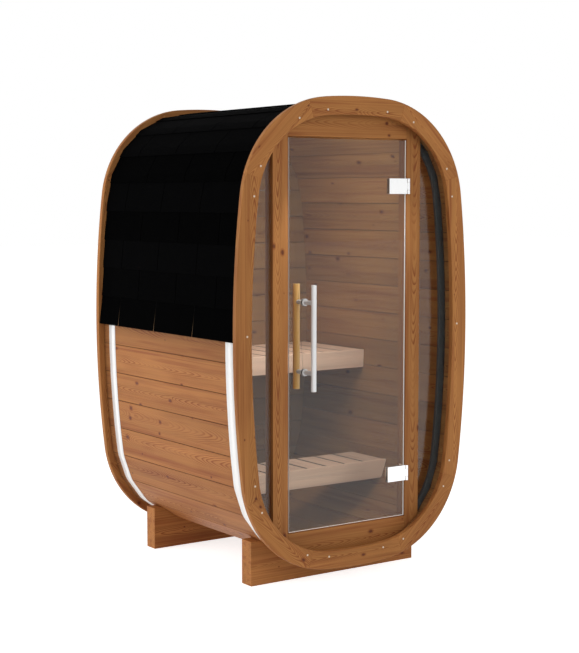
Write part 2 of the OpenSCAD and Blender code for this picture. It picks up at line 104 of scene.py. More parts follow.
# Handle
BAR_SIDES = 48
TURNED_SIDES = 40
HANDLE_CHAMFER = 0.0012
# The middle of a rounded rim, as shares of its chamfer along the bar and inwards
RIM_MIDDLE = (0.3, 0.35)
SPINDLE_HALF_D = 0.0095
NECK_HALF_D = 0.7 * SPINDLE_HALF_D
FLANGE_HALF_D = 0.0155
FLANGE_T = 0.005
FLANGE_DOME = 0.0012
WASHER_HALF_D = 0.0149
WASHER_T = 0.0012
WASHER_RIM = 0.0003

# Edges, as radii
STAVE_EDGE = 0.0005
POST_EDGE = 0.0015
BENCH_EDGE = 0.003
SLAT_EDGE = 0.0015
BEARER_EDGE = 0.002
STEEL_EDGE = 0.0007
FELT_EDGE = 0.0009
TRIM_EDGE = 0.001
ARRIS = 0.0014
EDGE_SHARPNESS = math.radians(30)
TURNED_SHARPNESS = math.radians(35)

# Bands and shingles
BAND_T = 0.001
BAND_BEND = 0.018
BAND_BEND_STEPS = 4
# Height of the lowest course's tabs, and how near the ends of a course its walls are no slits
LOWEST_TABS = 0.14
END_OF_COURSE = 0.01

# How far a normal or an edge leans along an axis, as a cosine
SLANTED = 0.4
MOSTLY = 0.5
NEARLY = 0.9
ALONG = 0.99
# Points nearer than this are one, and faces within this angle are one flat face
MERGE = 1e-5
FLAT = math.radians(0.4)

# Camera of the photograph
CAMERA_AT = (-3.7838, -5.5026, 1.6339)
CAMERA_TURN = (math.radians(85), 0, math.radians(-34.97))
CAMERA_LENS = 80.81
SENSOR = 36

# Light
SKY_LIGHT = 0.42
FLOOR_COLOUR = (0.86, 0.86, 0.86, 1)
FLOOR_GLOW = 0.78
FLOOR_BOUNCE = 0.14
FLOOR_HALF = 40
KEY_AT = (-5.0, 2.6, 2.3)
KEY_SIZE = 4.0
KEY_POWER = 158
FILL_AT = (0.2, -6.5, 3.1)
FILL_SIZE = 3.0
FILL_POWER = 77
ROOM_AT = (0, 0.10, 1.90)
ROOM_SIZE = 0.5
ROOM_POWER = 1.4
BENCH_AT = (0, -0.46, 1.74)
BENCH_SIZE = 0.6
BENCH_POWER = 2.2
BENCH_SPREAD = math.radians(100)
WALL_AT = (0, -0.40, 1.55)
WALL_SIZE = 0.5
WALL_POWER = 2.6
MIDDLE = Vector((0, 0, 1.0))
TO_BENCHES = Vector((0, 0.62, -1.0))
TO_WALL = Vector((0, 1, 0.2))

# How boards are cut from a log. A year is the growth rings' spacing and the taper their slope along the
# board; point and bend shape an arch's tip and sides, and beyond arch from the pith the lines run straight.
Cut = namedtuple("Cut", "year taper point bend arch")
STAVE_CUT = Cut(year=0.0066, taper=0.13, point=0.32, bend=0.032, arch=0.027)
RING_CUT = Cut(year=0.0056, taper=0.11, point=0.35, bend=0.026, arch=0.013)
BENCH_CUT = Cut(year=0.007, taper=0.06, point=0.3, bend=0.02, arch=0.02)
GRIP_CUT = Cut(year=0.004, taper=0.06, point=0.3, bend=0.01, arch=0.01)
# Where in its log a board lies: far along it, off the pith's middle and above or below the pith
LOG_LENGTH = 60
OFF_PITH = 0.35
PITH_DEPTH = (0.004, 0.02)
GRAIN_WIDTH = (0.8, 1.25)

# Patterns in wood, per metre along, across and through a board
WANDER = (1.9, 6, 6)
RIPPLES = (7, 18, 18)
WAVERS = (16, 60, 60)
VIVID = (3.2, 9, 9)
FIBRES = (9, 520, 520)
LINES = (1.5, 190, 190)
STREAKS = (0.9, 34, 34)
CLOUDS = (2.2, 9, 9)
RUDDY = (1.6, 40, 40)
RAGS = (90, 130, 130)
# How far these move the growth rings, and how round an arch's tip is
WANDER_BY = 0.03
RIPPLE_BY = 0.014
WAVER_BY = 0.0022
SWIRL_BY = 1.6
TIP_ROUND = 0.0015
# Ranges of a ring's width in which late wood darkens and ends
LATE_DARKENS = (0.45, 0.9)
LATE_ENDS = (0.93, 1.0)
# From this many times the arch's reach the lines are wholly straight
ARCH_SIDES = 2.7

# Knots: a cell of a board's face that may hold one, its stretch and how ragged its rim is
KNOT = (0.105, 0.030, 0.017, 1)
KNOT_CELL = (0.30, 0.09, 1)
KNOT_STRETCH = (0.62, 1, 0)
KNOT_RAGS = 0.004
# A cell's luck, from 0 to 1, gives a knot its chance and its size
KNOT_CHANCE = (0.42, 0.48)
KNOT_LEAST = 0.3
KNOT_SIZE = 0.0105
KNOT_RIM = (-0.0018, 0.002)
HALO_SIZE = 2.4
HALO_FADE = 0.008
SWIRL_REACH = 0.045
# Shares of a board's half thickness and half width where its face ends and its joint begins
FACE_EDGE = (0.9, 0.97)
JOINT_EDGE = (0.96, 0.99)

# Painted shade: where the staves' outside darkens towards the rear ring and up to the eaves, and where it is
# painted black under the felt
BARREL_MID = 1.06
OUTWARD = 0.1
REAR_RING_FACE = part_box("rear_ring_rails")[0].y
RING_SHADE_FROM = REAR_RING_FACE - 0.058
RING_SHADE_TO = REAR_RING_FACE - 0.036
RING_SHADE = 0.42
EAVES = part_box("left_shingles")[0].z
EAVES_SHADE_FROM = EAVES - 0.16
EAVES_SHADE_TO = EAVES + 0.02
EAVES_SHADE = 0.3
FELT_SHADE_FROM = EAVES + 0.15
FELT_SHADE_EDGE = 0.002
FELT_SHADE_COLOUR = (0.002, 0.002, 0.002, 1)
# The inner faces are tinted browner and darker, the darkening painted shade for the dim inside of the barrel
INNER_STAVE_TINT_AND_SHADE = (0.84, 0.98, 1.04)
INNER_WALL_TINT_AND_SHADE = (0.60, 0.74, 0.88)


# Shader maths

class Wire:
    """An output socket in a node tree. Arithmetic on wires adds Math nodes."""

    def __init__(self, tree, socket=None):
        self.tree = tree
        self.socket = socket

    def node(self, kind, settings=None, inputs=None, output=0):
        """Adds a node with its settings, then its sockets' values or links, and returns one output."""
        made = self.tree.nodes.new(kind)
        for name, value in (settings or {}).items():
            setattr(made, name, value)
        for name, value in (inputs or {}).items():
            if isinstance(value, Wire):
                self.tree.links.new(value.socket, made.inputs[name])
            else:
                made.inputs[name].default_value = value
        return Wire(self.tree, made.outputs[output] if made.outputs else None)

    def math(self, operation, *others):
        return self.node("ShaderNodeMath", {"operation": operation}, dict(enumerate((self, *others))))

    def math_after(self, operation, first):
        return self.node("ShaderNodeMath", {"operation": operation}, {0: first, 1: self})

    def vector(self, operation, *values, output=0):
        inputs = {0: self, **dict(enumerate(values, 1))}
        return self.node("ShaderNodeVectorMath", {"operation": operation}, inputs, output)

    def scaled(self, factor):
        """The colour or vector times a number."""
        return self.node("ShaderNodeVectorMath", {"operation": "SCALE"}, {0: self, "Scale": factor})

    def axis(self, name):
        return self.node("ShaderNodeSeparateXYZ", None, {0: self}, name)

    def between(self, first, second):
        """The colour that lies this share of the way from the first to the second."""
        return self.node("ShaderNodeMix", {"data_type": "RGBA"}, {0: self, 6: first, 7: second}, 2)

    def rise(self, low, high, smooth=True):
        """0 below low, 1 above high."""
        settings = {"interpolation_type": "SMOOTHSTEP" if smooth else "LINEAR"}
        return self.node("ShaderNodeMapRange", settings, {"Value": self, "From Min": low, "From Max": high})

    def noise(self, scale, detail=2.0):
        """Noise over this vector, from 0 to 1, with one scale or a scale for each axis."""
        each = scale if isinstance(scale, tuple) else (scale, scale, scale)
        inputs = {"Vector": self.vector("MULTIPLY", each), "Scale": 1.0, "Detail": detail}
        return self.node("ShaderNodeTexNoise", {"noise_dimensions": "3D"}, inputs, "Fac")

    def shake(self, scale, detail=2.0):
        """The same noise about 0."""
        return self.noise(scale, detail) - 0.5

    def __add__(self, other):
        return self.math("ADD", other)

    def __radd__(self, other):
        return self.math_after("ADD", other)

    def __sub__(self, other):
        return self.math("SUBTRACT", other)

    def __rsub__(self, other):
        return self.math_after("SUBTRACT", other)

    def __mul__(self, other):
        return self.math("MULTIPLY", other)

    def __rmul__(self, other):
        return self.math_after("MULTIPLY", other)

    def __truediv__(self, other):
        return self.math("DIVIDE", other)

    def __rtruediv__(self, other):
        return self.math_after("DIVIDE", other)

    def __abs__(self):
        return self.math("ABSOLUTE")


def new_finish(name):
    """An empty material and a wire in its tree."""
    material = bpy.data.materials.new(name)
    material.use_nodes = True
    material.node_tree.nodes.clear()
    return material, Wire(material.node_tree)


def surface(paint, **inputs):
    """A Principled shader, with spaces in its sockets' names written as underscores."""
    named = {name.replace("_", " "): value for name, value in inputs.items()}
    return paint.node("ShaderNodeBsdfPrincipled", None, named)


def show(paint, shader):
    paint.node("ShaderNodeOutputMaterial", None, {"Surface": shader})


def bump(paint, height, strength, distance):
    return paint.node("ShaderNodeBump", None, {"Height": height, "Strength": strength, "Distance": distance})


def attribute(paint, name, output):
    return paint.node("ShaderNodeAttribute", {"attribute_name": name}, None, output)


def object_place(paint):
    return paint.node("ShaderNodeTexCoord", None, None, "Object")


def tinted(paint, shade, red, green, blue):
    """The colour of one shade, with a tint."""
    return paint.node("ShaderNodeCombineXYZ", None, {0: shade * red, 1: shade * green, 2: shade * blue})


def rays(paint, kind):
    """1 for rays of one kind, such as Camera or Shadow."""
    return paint.node("ShaderNodeLightPath", None, None, f"Is {kind} Ray")


# Wood

def knot_pattern(paint, place, board, amount):
    """The core, halo and swirl of knots, one at most in each cell of a board's faces."""
    flat = place.vector("MULTIPLY", (1, 1, 0))
    on_face = abs(board.axis("Z")).rise(*FACE_EDGE)
    voronoi = {"voronoi_dimensions": "2D"}
    inputs = {"Vector": flat.vector("DIVIDE", KNOT_CELL), "Scale": 1.0, "Randomness": 1.0}
    centre = paint.node("ShaderNodeTexVoronoi", voronoi, inputs, "Position").vector("MULTIPLY", KNOT_CELL)
    luck = paint.node("ShaderNodeTexVoronoi", voronoi, inputs, "Color").axis("X")
    apart = flat.vector("SUBTRACT", centre).vector("MULTIPLY", KNOT_STRETCH)
    away = apart.vector("LENGTH", output="Value") + place.shake(RAGS) * KNOT_RAGS
    size = luck.rise(*KNOT_CHANCE) * (luck - KNOT_LEAST) * KNOT_SIZE * on_face * amount
    core = (size - away).rise(*KNOT_RIM)
    halo = (size * HALO_SIZE - away).rise(0.0, HALO_FADE)
    swirl = (1 - away.rise(0.0, SWIRL_REACH)) * size
    return core, halo, swirl


def growth_rings(place, cut, swirl):
    """The dark late wood of the rings, and the part of a board beside its arches."""
    across = place.axis("Y")
    through = place.axis("Z")
    tip = (across * across + TIP_ROUND ** 2).math("SQRT") * cut.point
    reach = tip + (across * across + through * through) / (2 * cut.bend) + place.axis("X") * cut.taper
    reach = reach + place.shake(WANDER, 2.5) * WANDER_BY + place.shake(RIPPLES, 1.5) * RIPPLE_BY
    reach = reach + place.shake(WAVERS) * WAVER_BY + swirl * SWIRL_BY
    growth = (reach / cut.year).math("FRACT")
    side = abs(across).rise(cut.arch, ARCH_SIDES * cut.arch)
    vivid = 0.25 + place.noise(VIVID).rise(0.36, 0.62) * 0.75
    late = growth.rise(*LATE_DARKENS) * (1 - growth.rise(*LATE_ENDS)) * vivid
    return late * (1 - side * 0.75) + side * 0.2, side


def outer_faces(paint, spot, staves):
    """1 on the faces that look away from the barrel's axis, or on a wall to the rear."""
    outward = (0, 1, 0)
    if staves:
        outward = spot.vector("SUBTRACT", (0, 0, BARREL_MID)).vector("MULTIPLY", (1, 0, 1))
    normal = paint.node("ShaderNodeNewGeometry", None, None, "Normal")
    return normal.vector("DOT_PRODUCT", outward, output="Value").rise(0.0, OUTWARD)


def painted_ring_and_eaves_shade(wood, spot, outside):
    """Painted shade on the staves' outside: darker by the rear ring and under the eaves, and black under the
    shingles.
    """
    by_ring = spot.axis("Y").rise(RING_SHADE_FROM, RING_SHADE_TO) * RING_SHADE
    by_eaves = spot.axis("Z").rise(EAVES_SHADE_FROM, EAVES_SHADE_TO) * EAVES_SHADE
    wood = wood.scaled(1 - outside * by_ring.math("MAXIMUM", by_eaves))
    under_felt = outside * spot.axis("Z").rise(FELT_SHADE_FROM, FELT_SHADE_FROM + FELT_SHADE_EDGE)
    return under_felt.between(wood, FELT_SHADE_COLOUR)


def sawn_wood(name, pale, dark, cut, joint_shade=1.0, knots=1.0, lines=1.0, inner=None, staves=False):
    """Wood with growth rings that run out in narrow arches along each board, with knots and fibres.

    The grain attribute is a place in the log and the board attribute one in the board, both along, across
    and through it. Inner tints the inward faces darker as painted shade; staves get painted shade outside.
    """
    material, paint = new_finish(name)
    place = attribute(paint, "grain", "Vector")
    board = attribute(paint, "board", "Vector")
    tone = attribute(paint, "tone", "Fac")
    core, halo, swirl = knot_pattern(paint, place, board, knots)
    late, side = growth_rings(place, cut, swirl)
    fibre = place.shake(FIBRES, 3.0)
    line = place.shake(LINES)
    streak = place.shake(STREAKS, 3.0)
    cloud = place.shake(CLOUDS)
    ruddy = place.noise(RUDDY, 3.0).rise(0.46, 0.7)

    grown = late * 0.75 + line * (0.4 + side * 0.6) + halo * 0.5 + ruddy * 0.36
    wood = (grown * lines).between(pale, dark)
    wood = wood.scaled(1 + tone * 0.1 + streak * 0.46 + cloud * 0.2 + fibre * 0.16)
    wood = (core * 0.8).between(wood, KNOT)
    joint = abs(board.axis("Y")).rise(*JOINT_EDGE)
    wood = wood.scaled(1 - joint * (1 - joint_shade))
    if inner:
        # Painted shade: the faces that look into the barrel take a darker tint
        spot = object_place(paint)
        outside = outer_faces(paint, spot, staves)
        wood = outside.between(wood.vector("MULTIPLY", inner), wood)
        # Painted shade on the staves' outside by the rear ring and under the eaves, and painted black under
        # the felt
        if staves:
            wood = painted_ring_and_eaves_shade(wood, spot, outside)

    rough = 0.5 + fibre * 0.25 + late * 0.08 - core * 0.1
    relief = fibre * 0.8 - late * 0.35 - core * 0.3
    shader = surface(paint, Base_Color=wood, Roughness=rough, Specular_IOR_Level=0.14,
                     Normal=bump(paint, relief, strength=0.2, distance=0.001))
    show(paint, shader)
    return material


# Other finishes

def felt_shingle():
    """Black bitumen felt with mineral grit."""
    material, paint = new_finish("felt_shingle")
    place = object_place(paint)
    tone = attribute(paint, "tone", "Fac")
    grit = place.noise(900)
    patch = place.noise(14, 3.0)
    shade = 0.0009 + grit.rise(0.5, 0.8) * 0.0018 + patch * 0.0005 + tone * 0.0006
    shader = surface(paint, Base_Color=tinted(paint, shade, 1, 1, 1.08), Roughness=0.88 + (grit - 0.5) * 0.2,
                     Specular_IOR_Level=0.006, Normal=bump(paint, grit, strength=0.5, distance=0.0012))
    show(paint, shader)
    return material


def cut_felt():
    """The brown fibres in a cut edge of the felt, which fade out above the lowest tabs."""
    material, paint = new_finish("cut_felt")
    place = object_place(paint)
    fibre = place.shake(400, 3.0)
    shown = 1 - place.axis("Z").rise(EAVES, EAVES + LOWEST_TABS * 0.8, False)
    warm = (1 + fibre * 0.5) * shown * shown
    shader = surface(paint, Base_Color=tinted(paint, warm, 0.9, 0.62, 0.36), Roughness=0.85 + fibre * 0.2,
                     Normal=bump(paint, fibre, strength=0.2, distance=0.0005))
    show(paint, shader)
    return material


def steel(name, colour, rough, brushed, metal=1.0):
    """Stainless steel with fine brush marks along one way; less metal looks bead-blasted."""
    material, paint = new_finish(name)
    place = object_place(paint)
    marks = place.shake(brushed)
    smear = place.shake(7)
    dark = tuple(0.93 * part for part in colour[:3]) + (1,)
    tint = (marks + 0.5).between(colour, dark)
    shader = surface(paint, Base_Color=tint, Metallic=metal, Roughness=rough + marks * 0.12 + smear * 0.06,
                     Normal=bump(paint, marks, strength=0.04, distance=0.0004))
    show(paint, shader)
    return material


def dull_trim():
    """Dark grey coated strip."""
    material, paint = new_finish("dull_trim")
    place = object_place(paint)
    speck = place.shake(700)
    cloud = place.shake(6)
    shade = 0.088 + speck * 0.012 + cloud * 0.006
    shader = surface(paint, Base_Color=tinted(paint, shade, 0.94, 1, 1.05), Roughness=0.62 + speck * 0.2,
                     Specular_IOR_Level=0.25, Normal=bump(paint, speck, strength=0.15, distance=0.0005))
    show(paint, shader)
    return material


def clear_glass():
    """Clear toughened glass that lets lamps and soft light through."""
    material, paint = new_finish("clear_glass")
    smear = object_place(paint).shake((5, 5, 3))
    sheet = surface(paint, Base_Color=(0.90, 0.955, 0.95, 1), Roughness=smear * 0.01 + 0.006,
                    Transmission_Weight=1.0, IOR=1.36)
    clear = paint.node("ShaderNodeBsdfTransparent", None, {"Color": (0.95, 0.955, 0.95, 1)})
    let_through = rays(paint, "Shadow").math("MAXIMUM", rays(paint, "Diffuse"))
    show(paint, paint.node("ShaderNodeMixShader", None, {0: let_through, 1: sheet, 2: clear}))
    return material


def ground_edge(name, pale, glow):
    """The ground edge of a glass pane; its glow is painted light that stands for light running through the
    glass.
    """
    material, paint = new_finish(name)
    frost = object_place(paint).shake((300, 300, 60), 3.0)
    colour = tinted(paint, pale + frost * 0.1, 1, 0.97, 0.93)
    shader = surface(paint, Base_Color=colour, Roughness=0.35 + frost * 0.2, Emission_Color=colour,
                     Emission_Strength=glow, Normal=bump(paint, frost, strength=0.1, distance=0.0004))
    show(paint, shader)
    return material


def black_rubber():
    """Washers at the glass."""
    material, paint = new_finish("black_rubber")
    speck = object_place(paint).shake(900)
    colour = tinted(paint, 0.016 + speck * 0.008, 1, 1, 1)
    shader = surface(paint, Base_Color=colour, Roughness=0.7 + speck * 0.2,
                     Normal=bump(paint, speck, strength=0.1, distance=0.0004))
    show(paint, shader)
    return material


BARREL_WOOD = {"pale": (0.440, 0.186, 0.060, 1), "dark": (0.265, 0.080, 0.030, 1), "cut": STAVE_CUT,
               "joint_shade": 0.55, "lines": 1.45}
RING_WOOD = {"cut": RING_CUT, "knots": 0.9, "lines": 1.4}
STAVE_PINE = sawn_wood("stave_pine", **BARREL_WOOD, inner=INNER_STAVE_TINT_AND_SHADE, staves=True)
WALL_PINE = sawn_wood("wall_pine", **BARREL_WOOD, inner=INNER_WALL_TINT_AND_SHADE)
RING_PINE = sawn_wood("ring_pine", (0.498, 0.216, 0.065, 1), (0.291, 0.091, 0.029, 1), **RING_WOOD)
# Painted shade: the same pine a shade darker for the door frame and the rear ring, which lie in shade
SHADED_PINE = sawn_wood("shaded_pine", (0.455, 0.199, 0.061, 1), (0.265, 0.083, 0.027, 1), **RING_WOOD)
# Painted light and shade: one bench wood in three brightnesses, paler for the lower fascia and rails, darker
# for the upper ones and the slats
SHADED_SLAT_WOOD = sawn_wood("shaded_slat_wood", (0.80, 0.54, 0.39, 1), (0.72, 0.45, 0.32, 1), BENCH_CUT,
                      joint_shade=0.3, knots=0.0)
LIT_BENCH_WOOD = sawn_wood("bench_wood", (0.95, 0.65, 0.47, 1), (0.86, 0.54, 0.38, 1), BENCH_CUT, knots=0.0)
SHADED_BENCH_WOOD = sawn_wood("shaded_bench_wood", (0.81, 0.54, 0.39, 1), (0.73, 0.45, 0.32, 1), BENCH_CUT, knots=0.0)
GRIP_WOOD = sawn_wood("grip_wood", (0.86, 0.48, 0.16, 1), (0.70, 0.34, 0.10, 1), GRIP_CUT, knots=0.0)
FELT = felt_shingle()
CUT_FELT = cut_felt()
BRIGHT_STEEL = steel("bright_steel", (0.95, 0.95, 0.95, 1), rough=0.18, brushed=(60, 60, 2200))
BAND_STEEL = steel("band_steel", (0.96, 0.96, 0.95, 1), rough=0.4, brushed=(60, 1800, 60), metal=0.35)
BAR_STEEL = steel("bar_steel", (0.95, 0.95, 0.95, 1), rough=0.5, brushed=(90, 90, 1500), metal=0.2)
SATIN_STEEL = steel("satin_steel", (0.74, 0.74, 0.74, 1), rough=0.45, brushed=(90, 1500, 90), metal=0.15)
SCREW_STEEL = steel("screw_steel", (0.80, 0.69, 0.56, 1), rough=0.45, brushed=(900, 900, 900), metal=0.15)
TRIM = dull_trim()
GLASS = clear_glass()
# Painted light: the right and bottom edges are a paler, brighter glowing copy, and the left edge a dimmer one
BRIGHT_GLOWING_EDGE = ground_edge("bright_glowing_edge", pale=0.92, glow=0.19)
DIM_GLOWING_EDGE = ground_edge("dim_glowing_edge", pale=0.75, glow=0.10)
RUBBER = black_rubber()


# Modelling by hand

def added(name, data):
    """A new object in the scene."""
    made = bpy.data.objects.new(name, data)
    bpy.context.scene.collection.objects.link(made)
    return made


def deselect():
    bpy.ops.object.select_all(action="DESELECT")


def take(*pieces):
    """Selects these pieces only, the first one active."""
    deselect()
    for piece in pieces:
        piece.select_set(True)
    bpy.context.view_layer.objects.active = pieces[0]


def select_whole():
    bpy.ops.mesh.select_all(action="SELECT")


def edit(piece):
    """Opens a piece in edit mode, with all of it selected."""
    take(piece)
    bpy.ops.object.mode_set(mode="EDIT")
    bpy.ops.mesh.select_mode(type="VERT")
    select_whole()


def done():
    bpy.ops.object.mode_set(mode="OBJECT")


def pick(piece, kind, wanted):
    """In edit mode, selects the faces or edges that pass a test."""
    bpy.ops.mesh.select_mode(type=kind)
    bpy.ops.mesh.select_all(action="DESELECT")
    mesh = bmesh.from_edit_mesh(piece.data)
    for part in (mesh.faces if kind == "FACE" else mesh.edges):
        part.select_set(wanted(part))
    mesh.select_flush_mode()
    bmesh.update_edit_mesh(piece.data)


def close_up():
    """In edit mode, fills the open ends and points all faces outwards."""
    select_whole()
    bpy.ops.mesh.fill_holes(sides=0)
    select_whole()
    bpy.ops.mesh.normals_make_consistent(inside=False)


def modify(piece, kind, **settings):
    """Adds a modifier with its settings and applies it."""
    take(piece)
    modifier = piece.modifiers.new(kind.lower(), kind)
    for name, value in settings.items():
        setattr(modifier, name, value)
    bpy.ops.object.modifier_apply(modifier=modifier.name)


def open_copy(node, name):
    """A copy of a CAD node with its points merged, open in edit mode."""
    piece = added(name, frame["nodes"][node].data.copy())
    piece.data.materials.clear()
    edit(piece)
    bpy.ops.mesh.remove_doubles(threshold=MERGE)
    return piece


def copy_of(node, name):
    """A merged copy of a CAD node with its flat faces whole again."""
    piece = open_copy(node, name)
    bpy.ops.mesh.dissolve_limited(angle_limit=FLAT)
    done()
    return piece


def round_edges(piece, radius, steps=2, sharpness=EDGE_SHARPNESS):
    """Rounds the sharp edges and keeps the flat faces flat in their shading."""
    take(piece)
    bpy.ops.object.shade_smooth()
    modify(piece, "BEVEL", width=radius, segments=steps, limit_method="ANGLE", angle_limit=sharpness,
           harden_normals=True)
    modify(piece, "WEIGHTED_NORMAL", keep_sharp=True)


def middle_of(piece):
    points = np.array([v.co for v in piece.data.vertices])
    return (points.min(0) + points.max(0)) / 2


def loose_parts(piece):
    """Splits a piece into its separate boards, in a steady order."""
    before = set(bpy.context.scene.objects)
    edit(piece)
    bpy.ops.mesh.separate(type="LOOSE")
    done()
    parts = [piece] + [o for o in bpy.context.scene.objects if o not in before]
    return sorted(parts, key=lambda part: tuple(round(x, 4) for x in middle_of(part)))


def join(parts, name):
    take(*parts)
    if len(parts) > 1:
        bpy.ops.object.join()
    parts[0].name = name
    parts[0].data.name = name
    return parts[0]


def give(mesh, name, kind, values):
    """Writes a point attribute."""
    field = "vector" if kind == "FLOAT_VECTOR" else "value"
    made = mesh.attributes.new(name, kind, "POINT")
    made.data.foreach_set(field, np.asarray(values, np.float32).ravel())


def give_tone(piece):
    """A shade of its own, from -1 to 1."""
    give(piece.data, "tone", "FLOAT", np.full(len(piece.data.vertices), chance.uniform(-1, 1)))


def lay_grain(board):
    """Gives a board its own cut from a log, with the grain along its longest way."""
    points = np.array([v.co for v in board.data.vertices])
    centred = points - points.mean(0)
    ways = np.linalg.eigh(np.cov(centred.T))[1][:, ::-1]
    ways = ways * np.sign(ways[np.abs(ways).argmax(0), range(3)])
    place = centred @ ways
    low, high = place.min(0), place.max(0)
    place = place - (low + high) / 2
    half = (high - low) / 2
    cut = (chance.uniform(0, LOG_LENGTH), chance.uniform(-OFF_PITH, OFF_PITH) * half[1],
           chance.choice((-1, 1)) * (half[2] + chance.uniform(*PITH_DEPTH)))
    stretch = (chance.choice((-1, 1)), chance.uniform(*GRAIN_WIDTH), 1)
    give(board.data, "grain", "FLOAT_VECTOR", place * np.array(stretch) + np.array(cut))
    give(board.data, "board", "FLOAT_VECTOR", place / half)
    give_tone(board)


def paint_with(piece, *finishes):
    piece.data.materials.clear()
    for finish in finishes:
        piece.data.materials.append(finish)


def paint_faces(piece, index, wanted):
    """In edit mode, gives the faces that pass a test one of the piece's finishes."""
    pick(piece, "FACE", wanted)
    piece.active_material_index = index
    bpy.ops.object.material_slot_assign()


def place_on(piece, body, slot, *nodes):
    """Lets a finished piece ride on a body, in the place of its CAD nodes."""
    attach(piece, body)
    if nodes:
        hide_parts(*nodes)
    return piece


def grained(piece, name, wood):
    """Gives each board of a piece its own grain, and all of them one wood."""
    boards = loose_parts(piece)
    for board in boards:
        lay_grain(board)
    piece = join(boards, name)
    paint_with(piece, wood)
    return piece


def planed(node, wood, radius):
    """The boards of a node, planed, with rounded edges and each with its own grain."""
    name = node + "_planed"
    piece = copy_of(node, name)
    round_edges(piece, radius)
    piece = grained(piece, name, wood)
    return place_on(piece, CABIN, SLOT_OF[node], node)


# End rings

def ring_outline():
    """Centres of a ring's side, crown and corner arcs, its half width and its middle height."""
    low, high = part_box("front_ring_rails")
    half_w = high.x
    half_h = (high.z - low.z) / 2
    side = Vector((half_w - SIDE_ARC, 0))
    crown = Vector((0, half_h - CROWN_ARC))
    span = (crown - side).length
    toward = (crown - side) / span
    side_leg = SIDE_ARC - CORNER_ARC
    crown_leg = CROWN_ARC - CORNER_ARC
    step_in = (side_leg ** 2 - crown_leg ** 2 + span ** 2) / (2 * span)
    step_up = math.sqrt(side_leg ** 2 - step_in ** 2)
    corner = side + step_in * toward + step_up * Vector((-toward.y, toward.x))
    return side, crown, corner, half_w, (low.z + high.z) / 2


SIDE_C, CROWN_C, CORNER_C, RING_HALF_W, RING_MID = ring_outline()
SIDE_TURN = math.atan2(CORNER_C.y - SIDE_C.y, CORNER_C.x - SIDE_C.x)
CROWN_TURN = math.atan2(CORNER_C.y - CROWN_C.y, CORNER_C.x - CROWN_C.x)


def sweep(centre, angle, steps):
    """Spins the selected section onwards about a centre in the ring's plane."""
    bpy.ops.mesh.spin(steps=steps, angle=angle, center=(centre.x, 0, centre.y), axis=(0, 1, 0))


def end_ring(name, wood, y_low, y_high, *nodes):
    """A ring of four corner pieces and four rails: a rounded section spun round a quarter and mirrored."""
    deselect()
    bpy.ops.mesh.primitive_plane_add(size=1, location=(0, 0, 0))
    ring = bpy.context.object
    ring.name = name
    edit(ring)
    bpy.ops.transform.resize(value=(RING_BAND, y_high - y_low, 1), center_override=(0, 0, 0))
    bpy.ops.transform.translate(value=(RING_HALF_W - RING_BAND / 2, (y_low + y_high) / 2, 0))
    bpy.ops.mesh.bevel(offset=RING_EDGE, segments=RING_EDGE_STEPS, affect="VERTICES")
    select_whole()
    bpy.ops.mesh.delete(type="ONLY_FACE")
    select_whole()
    sweep(SIDE_C, SIDE_TURN, SIDE_STEPS)
    sweep(CORNER_C, MITRE_LOW - SIDE_TURN, REST_STEPS)
    bpy.ops.mesh.duplicate()
    sweep(CORNER_C, MITRE_HIGH - MITRE_LOW, CORNER_STEPS)
    bpy.ops.mesh.duplicate()
    sweep(CORNER_C, CROWN_TURN - MITRE_HIGH, REST_STEPS)
    sweep(CROWN_C, math.pi / 2 - CROWN_TURN, CROWN_STEPS)
    done()
    modify(ring, "MIRROR", use_axis=(True, False, True), merge_threshold=MERGE)
    edit(ring)
    close_up()
    bpy.ops.transform.translate(value=(0, 0, RING_MID))
    done()
    round_edges(ring, JOINT_GROOVE, steps=1, sharpness=JOINT_SHARPNESS)
    ring = grained(ring, name, wood)
    return place_on(ring, CABIN, "ring_wood", *nodes)


# Turned pieces

def turned(name, foot, axis, stations, sides):
    """A piece turned about an axis from a foot: stations are (distance along it, radius)."""
    axis = Vector(axis)
    turn = (math.pi / 2, 0, 0) if axis.z == 0 else (0, 0, 0)
    keep = Vector((1, 1, 1)) - Vector(map(abs, axis))
    deselect()
    first, radius = stations[0]
    start = Vector(foot) + first * axis
    bpy.ops.mesh.primitive_circle_add(vertices=sides, radius=radius, location=(0, 0, 0), rotation=turn)
    piece = bpy.context.object
    piece.name = name
    bpy.ops.object.transform_apply(location=False, rotation=True, scale=False)
    edit(piece)
    bpy.ops.transform.translate(value=start)
    for (before, r_before), (after, r_after) in zip(stations, stations[1:]):
        bpy.ops.mesh.extrude_region_move(TRANSFORM_OT_translate={"value": (after - before) * axis})
        swell = r_after / r_before
        size = [swell if part else 1 for part in keep]
        bpy.ops.transform.resize(value=size, center_override=Vector(foot) + after * axis)
    close_up()
    done()
    take(piece)
    bpy.ops.object.shade_smooth_by_angle(angle=TURNED_SHARPNESS)
    return piece


def chamfered(length, radius, chamfer):
    """Stations of a plain bar with rounded rims."""
    along, inward = RIM_MIDDLE
    rim = [(0, radius - chamfer), (along * chamfer, radius - inward * chamfer), (chamfer, radius)]
    return rim + [(length - at, r) for at, r in reversed(rim)]


def handle_bar(node, finish):
    low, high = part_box(node)
    middle = (low + high) / 2
    radius = (high.x - low.x) / 2
    foot = (middle.x, middle.y, low.z)
    stations = chamfered(high.z - low.z, radius, HANDLE_CHAMFER)
    bar = turned(node + "_turned", foot, (0, 0, 1), stations, BAR_SIDES)
    lay_grain(bar)
    paint_with(bar, finish)
    return place_on(bar, DOOR, SLOT_OF[node], node)


